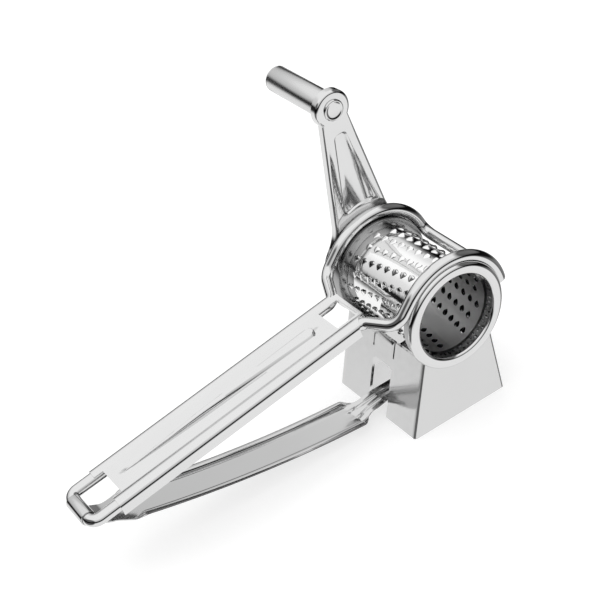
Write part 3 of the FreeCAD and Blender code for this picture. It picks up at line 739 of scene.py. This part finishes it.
places, turns, bands = [], [], []
for row in range(ROWS):
    start = FIRST_ROW + ROW_STEP * row
    shift = PITCH / 2 * (row % 2) - PITCH / 4
    low, high = -TEETH / 2 * PITCH + shift, TEETH / 2 * PITCH + shift
    if row == ROWS - 1:
        bands.append((start, TUBE_ENDS[0], TUBE_ENDS[1]))
        continue
    for i in range(TEETH):
        y = (i - (TEETH - 1) / 2) * PITCH + shift
        places.append((DRUM.x / 1000, (DRUM.y + y) / 1000, DRUM.z / 1000))
        turns.append(-math.radians(start + ROW_TWIST * y))
    bands.append((start, TUBE_ENDS[0], low))
    bands.append((start, high, TUBE_ENDS[1]))
drum = new_object("drum_punched", places, [])
drum.data.attributes.new("turn", "FLOAT", "POINT").data.foreach_set("value", turns)

# The tree stamps one tooth's patch at every place, turned round the drum by its own angle.
tree = bpy.data.node_groups.new("punch", "GeometryNodeTree")
tree.is_modifier = True
tree.interface.new_socket("Geometry", in_out="INPUT", socket_type="NodeSocketGeometry")
tooth_in = tree.interface.new_socket("Tooth", in_out="INPUT", socket_type="NodeSocketObject")
steel_in = tree.interface.new_socket("Steel", in_out="INPUT", socket_type="NodeSocketMaterial")
tree.interface.new_socket("Geometry", in_out="OUTPUT", socket_type="NodeSocketGeometry")
given = add_node(tree, "NodeGroupInput", {}).outputs
tooth = add_node(tree, "GeometryNodeObjectInfo", {"Object": given["Tooth"]}).outputs["Geometry"]
angle = add_node(tree, "GeometryNodeInputNamedAttribute", {
    "Name": "turn"}, data_type="FLOAT").outputs["Attribute"]
turned = add_node(tree, "ShaderNodeCombineXYZ", {"Y": angle}).outputs["Vector"]
stamped = add_node(tree, "GeometryNodeInstanceOnPoints", {
    "Points": given["Geometry"], "Instance": tooth, "Rotation": turned}).outputs["Instances"]
real = add_node(tree, "GeometryNodeRealizeInstances", {"Geometry": stamped}).outputs["Geometry"]
coated = add_node(tree, "GeometryNodeSetMaterial", {
    "Geometry": real, "Material": given["Steel"]}).outputs["Geometry"]
add_node(tree, "NodeGroupOutput", {"Geometry": coated})
# Thin bright sheet, polished outside only: clear outside, painted shade in the holes, dull within.
DRUM_STEEL = steel("polished_drum", "#FAFAFA", 0.08, punched=True)
punch = drum.modifiers.new("punch", "NODES")
punch.node_group = tree
punch[tooth_in.identifier] = cell
punch[steel_in.identifier] = DRUM_STEEL
bake(drum)
bpy.data.objects.remove(cell)

# Plain tube at the two ends of each row, and along the whole of the seam's row.
points, faces, inner_side = [], [], []
for start, y0, y1 in bands:
    along = spread([y0, y1], 0.5)
    for surface in (0, 1):
        base = len(points)
        r = DRUM_R - surface * DRUM_SHEET
        for y in along:
            for i in range(U_STEPS + 1):
                a = math.radians(start - ROW_STEP / 2 + ROW_STEP * i / U_STEPS + ROW_TWIST * y)
                points.append((r * math.cos(a), y, r * math.sin(a)))
                inner_side.append(float(surface))
        w = U_STEPS + 1
        for j in range(len(along) - 1):
            for i in range(U_STEPS):
                q = base + j * w + i
                faces.append((q, q + 1, q + w + 1, q + w))
plain = new_object("bands", placed(points), faces)
plain.data.attributes.new("inside", "FLOAT", "POINT").data.foreach_set("value", inner_side)
joined(drum, plain)
finish_piece(drum, DRUM_STEEL, "drum", ["drum_tube"], sharp=50)


# ---------------------------------------------------------------- drum ends
# Spun from thin sheet and welded to the tube: a rolled flange at the open end, two
# cup rings that run in the frame's loops, and the disc that closes the crank end.
COLLAR = 0.8
FLANGE_R, FLANGE_Y, LIP_R, NECK_R, NECK_FOOT = 26.0, 31.2, 2.1, 1.5, -22.6
CUP_FOOT, DISC_Y, DISC_SHEET = 23.9, 29.4, 1.0
lip_r, lip_y = FLANGE_R - LIP_R, -FLANGE_Y + LIP_R
outline = [(DRUM_R, NECK_FOOT)] + arc(DRUM_R + NECK_R, -FLANGE_Y + NECK_R, NECK_R, 180, 270, 8)
outline += arc(lip_r, lip_y, LIP_R, -90, 0, 10) + arc(lip_r, lip_y, LIP_R - COLLAR, 0, -90, 6)
outline += [(DRUM_R + NECK_R, -FLANGE_Y + COLLAR), (DRUM_R + COLLAR, -FLANGE_Y + NECK_R),
            (DRUM_R + COLLAR, NECK_FOOT)]
# Polished after spinning: a mirror as sharp as the rod's.
COLLAR_STEEL = steel("polished_collar", "#E2E2E2", 0.07)
finish_piece(lathe("open_flange", outline, sides=192), COLLAR_STEEL, "drum", ["drum_front_flange"], sharp=50)
RING_R = LOOP_R - WIRE_R - 0.3
# Rubbed dull where the rings run in the loops; their grey tint is painted shade for the dark reflections round
# the drum's ends.
SHADED_RING_STEEL = steel("dull_ring_painted_shade", "#A8A8A8", 0.20)
for name, sign, hub, outside, node in (("front_cup_ring", -1, DRUM_R + COLLAR, 30.3, "front_bearing_ring"),
                                       ("rear_cup_ring", 1, DRUM_R, 30.4, "rear_bearing_ring")):
    corners = [(RING_R, outside), (RING_R, CUP_FOOT), (hub, CUP_FOOT), (hub, CUP_FOOT + COLLAR),
               (RING_R - COLLAR, CUP_FOOT + COLLAR), (RING_R - COLLAR, outside)]
    shape = soft_outline([(r, sign * y) for r, y in corners], 0.35, 5)
    finish_piece(lathe(name, shape, sides=160), SHADED_RING_STEEL, "drum", [node], sharp=50)
rim = RING_R - COLLAR - 0.1
disc_back = DISC_Y + DISC_SHEET
shape = soft_outline([(0.0, DISC_Y), (rim, DISC_Y), (rim, disc_back), (0.0, disc_back)], 0.2)
finish_piece(lathe("end_disc", shape), DRUM_STEEL, "drum", ["drum_end_plate"], sharp=50)


# ---------------------------------------------------------------- crank
# Pressed from 1.6 mm sheet: a big disc over the drum's end and a tapering arm to
# a round eye, all edges turned back, a rounded triangle pressed into the arm.
CRANK_LEAN = math.radians(5.6)
CRANK_LENGTH, CRANK_Y, CRANK_DEPTH, CRANK_SHEET = 85.6, 30.5, 4.5, 1.6
EYE_R, EYE_HOLE_R, HOLE_SIDES, DISC_R, FRONT_ROUND = 9.0, 3.05, 40, 26.0, 1.5
ARM_TOP, ARM_LOW, ARM_BLEND = (7.1, 79.9), (13.0, 38.0), 20.0  # the arm's flank, and its blend to the disc
RECESS = ((-9.0, 31.2, 2.4), (0.0, 33.6, 30.0), (9.0, 31.2, 2.4),
          (3.4, 73.5, 3.0), (-3.4, 73.5, 3.0))  # x, z, radius of the corner
RECESS_STEPS = ((0.0, 0.0), (0.25, 0.05), (0.6, 0.35), (0.95, 0.65), (1.2, 0.7))  # inset, depth


def leaned(x, y, z):
    """Point drawn with the arm upright, turned to where the crank rests."""
    return Vector((x * math.cos(CRANK_LEAN) - z * math.sin(CRANK_LEAN), y,
                   x * math.sin(CRANK_LEAN) + z * math.cos(CRANK_LEAN)))


def crank_outline():
    """Points and outward normals round the crank, anticlockwise from the disc's lowest point."""
    top, low, blend = ARM_TOP, ARM_LOW, ARM_BLEND
    dx, dz = low[0] - top[0], low[1] - top[1]
    size = math.hypot(dx, dz)
    ux, uz = dx / size, dz / size
    nx, nz = -uz, ux
    px, pz = top[0] + nx * blend, top[1] + nz * blend
    b = px * ux + pz * uz
    c = px * px + pz * pz - (DISC_R + blend) ** 2
    along = -b - math.sqrt(b * b - c)
    cx, cz = px + ux * along, pz + uz * along
    disc_angle = math.degrees(math.atan2(cz, cx))
    arm_angle = math.degrees(math.atan2(-nz, -nx))
    half = []
    for x, z in arc(0, 0, DISC_R, -90, disc_angle, 60):
        half.append((x, z, x / DISC_R, z / DISC_R))
    start = disc_angle + 180
    turn = (arm_angle - start + 180) % 360 - 180
    for x, z in arc(cx, cz, blend, start, start + turn, 16)[1:]:
        half.append((x, z, (cx - x) / blend, (cz - z) / blend))
    eye_angle = math.degrees(math.atan2(top[1] - CRANK_LENGTH, top[0]))
    last = half[-1]
    for t in (0.25, 0.5, 0.75):
        half.append((last[0] + (top[0] - last[0]) * t, last[1] + (top[1] - last[1]) * t, nx, nz))
    for x, z in arc(0, CRANK_LENGTH, EYE_R, eye_angle, 90, 24):
        half.append((x, z, x / EYE_R, (z - CRANK_LENGTH) / EYE_R))
    other = [(-x, z, -mx, mz) for x, z, mx, mz in reversed(half[1:-1])]
    return half + other


def recess_outline():
    """Rounded triangle with curved foot, as (x, z) points."""
    corners = [Vector((x, 0, z)) for x, z, _ in RECESS]
    out = []
    for i, p in enumerate(corners):
        a, b = corners[i - 1], corners[(i + 1) % len(corners)]
        half = (a - p).angle(b - p) / 2
        radius = min(RECESS[i][2], 0.45 * min((a - p).length, (b - p).length) * math.tan(half))
        out += rounded([a, p, b], [radius], 10)[1:-1]
    return [(p.x, p.z) for p in out]


outline = crank_outline()
ring_count = len(outline)
points, faces, rings = [], [], []


def crank_ring(inset, y):
    """Adds the crank's outline, drawn in by an inset, at a height above the drum's end."""
    rings.append(len(points))
    for x, z, nx, nz in outline:
        points.append(leaned(x - nx * inset, y, z - nz * inset))


back_y = CRANK_Y + CRANK_DEPTH
crank_ring(CRANK_SHEET, CRANK_Y + CRANK_SHEET)
BACK_EDGE = 0.3
for inset, y in ((CRANK_SHEET, back_y - BACK_EDGE), (CRANK_SHEET - BACK_EDGE, back_y), (BACK_EDGE, back_y),
                 (0.0, back_y - BACK_EDGE)):
    crank_ring(inset, y)
for a in range(0, 91, 10):
    a = math.radians(a)
    crank_ring(FRONT_ROUND * (1 - math.cos(a)), CRANK_Y + FRONT_ROUND * (1 - math.sin(a)))
for a, b in zip(rings, rings[1:]):
    for k in range(ring_count):
        n = (k + 1) % ring_count
        faces.append((a + k, a + n, b + n, b + k))
work = bmesh.new()
verts = [work.verts.new(p) for p in placed(points)]
for face in faces:
    work.faces.new([verts[i] for i in face])


def loop_edges(ring_verts):
    """Edges round a ring of vertices."""
    edges = []
    for k, v in enumerate(ring_verts):
        n = ring_verts[(k + 1) % len(ring_verts)]
        edges.append(work.edges.get((v, n)) or work.edges.new((v, n)))
    return edges


def eye_hole(y):
    """Vertices round the eye's hole at a height above the drum's end."""
    circle = arc(0, 0, EYE_HOLE_R, 0, 360, HOLE_SIDES)[:-1]
    return [work.verts.new(p) for p in placed([leaned(x, y, CRANK_LENGTH + z) for x, z in circle])]


recess = recess_outline()
levels = []
for inset, depth in RECESS_STEPS:
    level = []
    for k, (x, z) in enumerate(recess):
        (ax, az), (bx, bz) = recess[k - 1], recess[(k + 1) % len(recess)]
        size = math.hypot(bx - ax, bz - az)
        mx, mz = -(bz - az) / size, (bx - ax) / size
        level.append(leaned(x + mx * inset, CRANK_Y + depth, z + mz * inset))
    levels.append([work.verts.new(p) for p in placed(level)])
for a, b in zip(levels, levels[1:]):
    for k in range(len(a)):
        n = (k + 1) % len(a)
        work.faces.new((a[k], a[n], b[n], b[k]))
work.faces.new(levels[-1])
hole_front, hole_back = eye_hole(CRANK_Y), eye_hole(CRANK_Y + CRANK_SHEET)
for k in range(HOLE_SIDES):
    n = (k + 1) % HOLE_SIDES
    work.faces.new((hole_front[k], hole_front[n], hole_back[n], hole_back[k]))
front_ring = verts[rings[-1]:rings[-1] + ring_count]
back_ring = verts[rings[0]:rings[0] + ring_count]
for edges in (loop_edges(front_ring) + loop_edges(levels[0]) + loop_edges(hole_front),
              loop_edges(back_ring) + loop_edges(hole_back)):
    bmesh.ops.triangle_fill(work, use_beauty=True, edges=edges)
crank = new_object("crank_pressing", [], [])
work.to_mesh(crank.data)
work.free()
# Pressed and mirror-polished, with a hint of the press's waviness in its broad face.
CRANK_STEEL = steel("polished_crank", "#E2E2E2", 0.08, wave=0.12)
finish_piece(crank, CRANK_STEEL, "drum", ["crank_arm"], sharp=28)

RIVETS, RIVET_CIRCLE, RIVET_HEAD_R, RIVET_R = 3, 14.0, 3.0, 1.9
rivets = []
inner_y, face_y = DISC_Y, CRANK_Y + CRANK_SHEET
shape = [(0.0, inner_y - 1.0), (2.2, inner_y - 0.9), (2.8, inner_y - 0.6), (RIVET_HEAD_R, inner_y),
         (RIVET_R, inner_y), (RIVET_R, face_y), (RIVET_HEAD_R, face_y), (2.8, face_y + 0.6),
         (2.2, face_y + 1.0), (0.0, face_y + 1.1)]
for i in range(RIVETS):
    a = math.radians(90 + 360 / RIVETS * i)
    spot = leaned(RIVET_CIRCLE * math.cos(a), 0, RIVET_CIRCLE * math.sin(a))
    rivets.append(lathe("rivet", shape, spot.x, spot.z, 40))
crank_heads = finish_piece(joined(*rivets), CRANK_STEEL, "drum", ["crank_rivets"], sharp=50)
crank_heads.name = "crank_rivet_heads"


# ---------------------------------------------------------------- grip stud
# A turned pin that the grip spins on: its wide, dished head shows on the eye's
# front, its other end is peened over the grip's cap, and a washer lies either side.
EYE = leaned(0, 0, CRANK_LENGTH)
GRIP_Y0, GRIP_LENGTH, GRIP_R, GRIP_WALL, CAP = CRANK_Y + CRANK_DEPTH + 0.5, 40.6, 6.2, 1.0, 1.8
GRIP_Y1 = GRIP_Y0 + GRIP_LENGTH
STUD_R, STUD_ROOT, STUD_BORE, HEAD_R = 2.5, 3.0, 2.56, 5.0
shape = [(0.0, CRANK_Y - 0.55), (3.0, CRANK_Y - 0.6), (3.8, CRANK_Y - 0.72), (4.1, CRANK_Y - 0.9),
         (4.6, CRANK_Y - 0.88), (4.9, CRANK_Y - 0.65), (HEAD_R, CRANK_Y - 0.3), (HEAD_R, CRANK_Y),
         (STUD_ROOT, CRANK_Y), (STUD_ROOT, back_y - 0.05), (STUD_R, back_y), (STUD_R, GRIP_Y1 + 0.7),
         (3.6, GRIP_Y1 + 0.7), (3.5, GRIP_Y1 + 1.2), (2.8, GRIP_Y1 + 1.6), (0.0, GRIP_Y1 + 1.7)]
finish_piece(lathe("stud_pin", shape, EYE.x, EYE.z, 64), COLLAR_STEEL, "drum", ["grip_stud"])
for name, outer, bore, y0, y1, edge, node in (
        ("stud_washer_ring", 5.6, STUD_ROOT, face_y, face_y + 1.4, 0.15, "stud_washer"),
        ("grip_washer_ring", 4.6, STUD_BORE, GRIP_Y0 - 0.45, GRIP_Y0 - 0.05, 0.1, "grip_washer")):
    shape = soft_outline([(outer, y0), (outer, y1), (bore, y1), (bore, y0)], edge, 2)
    finish_piece(lathe(name, shape, EYE.x, EYE.z, 64), COLLAR_STEEL, "drum", [node])


# ---------------------------------------------------------------- grip
# A plain drawn tube with a chamfered cap pressed into its far end; two moulded
# sleeves inside let it turn true on the stud.
CHAMFER, PLUG, SLEEVE = 1.3, 2.0, 5.0
INNER_R = GRIP_R - GRIP_WALL
# Brushed round and worn by hands: a broad, soft highlight along the tube.
GRIP_STEEL = steel("satin_grip", "#DCDCDC", 0.24, vary=0.06, grain=(1500.0, 60.0, 1500.0))
cap_y = GRIP_Y1 - CAP
shape = soft_outline([(GRIP_R, GRIP_Y0), (GRIP_R, cap_y), (INNER_R, cap_y), (INNER_R, GRIP_Y0)], 0.25, 3)
finish_piece(lathe("grip_barrel", shape, EYE.x, EYE.z), GRIP_STEEL, "grip", ["grip_tube"])
shape = soft_outline([(GRIP_R, cap_y), (GRIP_R, GRIP_Y1 - CHAMFER), (GRIP_R - CHAMFER, GRIP_Y1),
                      (STUD_R + 0.3, GRIP_Y1), (STUD_R + 0.3, cap_y - PLUG), (INNER_R, cap_y - PLUG),
                      (INNER_R, cap_y)], 0.15, 3)
finish_piece(lathe("grip_cap", shape, EYE.x, EYE.z), GRIP_STEEL, "grip", ["grip_end_cap"])


def moulded(name, tint):
    """Plain moulded plastic with a faint mottled tone and no shine to speak of."""
    material = bpy.data.materials.new(name)
    material.use_nodes = True
    tree = material.node_tree
    place = add_node(tree, "ShaderNodeTexCoord", {}).outputs["Object"]
    speck = add_node(tree, "ShaderNodeTexNoise", {"Vector": place, "Scale": 900.0}).outputs["Fac"]
    colour = linear(tint)
    tone = add_node(tree, "ShaderNodeMix", {
        "Factor": speck, "A": [c * 0.85 for c in colour[:3]] + [1.0], "B": colour}, data_type="RGBA")
    feed(tree, tree.nodes["Principled BSDF"], {"Base Color": tone.outputs["Result"], "Roughness": 0.5})
    return material


BUSH = moulded("moulded_bush", "#D8D8D2")
for name, y0, node in (("inner_sleeve", GRIP_Y0 + 0.6, "grip_inner_bush"),
                       ("outer_sleeve", cap_y - PLUG - SLEEVE, "grip_outer_bush")):
    y1 = y0 + SLEEVE
    shape = soft_outline([(INNER_R, y0), (INNER_R, y1), (STUD_BORE, y1), (STUD_BORE, y0)], 0.2, 2)
    finish_piece(lathe(name, shape, EYE.x, EYE.z, 48), BUSH, "grip", [node])


# ---------------------------------------------------------------- stage
# A pale paper floor in a soft white room. A dark band at the height of the horizon
# and two dark cards at the sides give polished steel its dark lines; the floor and
# the two lamps aren't seen in the reflections.
floor = new_object("floor", [(-6, -6, 0), (6, -6, 0), (6, 6, 0), (-6, 6, 0)], [(0, 1, 2, 3)])
paper = bpy.data.materials.new("pale_paper")
paper.use_nodes = True
feed(paper.node_tree, paper.node_tree.nodes["Principled BSDF"], {
    "Base Color": linear("#C8C8C8"), "Emission Color": linear("#FFFFFF"), "Emission Strength": 0.55,
    "Roughness": 0.9, "Specular IOR Level": 0.1})
floor.data.materials.append(paper)
floor.visible_glossy = False

world = bpy.data.worlds.new("room")
bpy.context.scene.world = world
world.use_nodes = True
tree = world.node_tree
place = add_node(tree, "ShaderNodeTexCoord", {}).outputs["Generated"]
middle = add_node(tree, "ShaderNodeVectorMath", {
    0: place, 1: (0.5, 0.5, 0.5), 2: (0.5, 0.5, 0.5)}, operation="MULTIPLY_ADD").outputs["Vector"]
split = add_node(tree, "ShaderNodeSeparateXYZ", {"Vector": middle}).outputs


def tones(direction, stops):
    """Ramp over one direction of the room, from (-1 to 1, brightness) stops."""
    ramp = add_node(tree, "ShaderNodeValToRGB", {"Fac": split[direction]})
    for i, (position, value) in enumerate(stops):
        stop = ramp.color_ramp.elements[i] if i < 1 else ramp.color_ramp.elements.new((position + 1) / 2)
        stop.position = (position + 1) / 2
        stop.color = (value, value, value, 1)
    ramp.color_ramp.elements.remove(ramp.color_ramp.elements[-1])
    return ramp.outputs["Color"]


height = tones("Z", (
    (-1.0, 0.95), (-0.48, 1.0), (-0.29, 0.90), (-0.20, 0.35), (-0.12, 0.03), (0.14, 0.01), (0.21, 0.42),
    (0.27, 0.64), (0.42, 0.74), (0.54, 0.80), (0.66, 1.04), (0.99, 1.05)))
cards = tones("X", ((-1.0, 0.25), (-0.82, 0.12), (-0.70, 1.0), (0.60, 1.0), (0.70, 0.14), (0.99, 0.3)))
room = add_node(tree, "ShaderNodeMix", {
    "Factor": 1.0, "A": height, "B": cards}, data_type="RGBA", blend_type="MULTIPLY").outputs["Result"]
feed(tree, tree.nodes["Background"], {"Color": room, "Strength": 1.0})

for name, place, size, power in (("key", (-0.5, 0.3, 2.2), 1.8, 13.0), ("fill", (1.2, -1.6, 1.2), 1.2, 4.0)):
    lamp = bpy.data.lights.new(name, "AREA")
    lamp.size = size
    lamp.energy = power
    lamp_object = bpy.data.objects.new(name, lamp)
    bpy.context.scene.collection.objects.link(lamp_object)
    lamp_object.location = place
    lamp_object.visible_glossy = False
    lamp_object.rotation_euler = (-Vector(place)).to_track_quat("-Z", "Y").to_euler()

bpy.context.scene.view_settings.view_transform = "Standard"
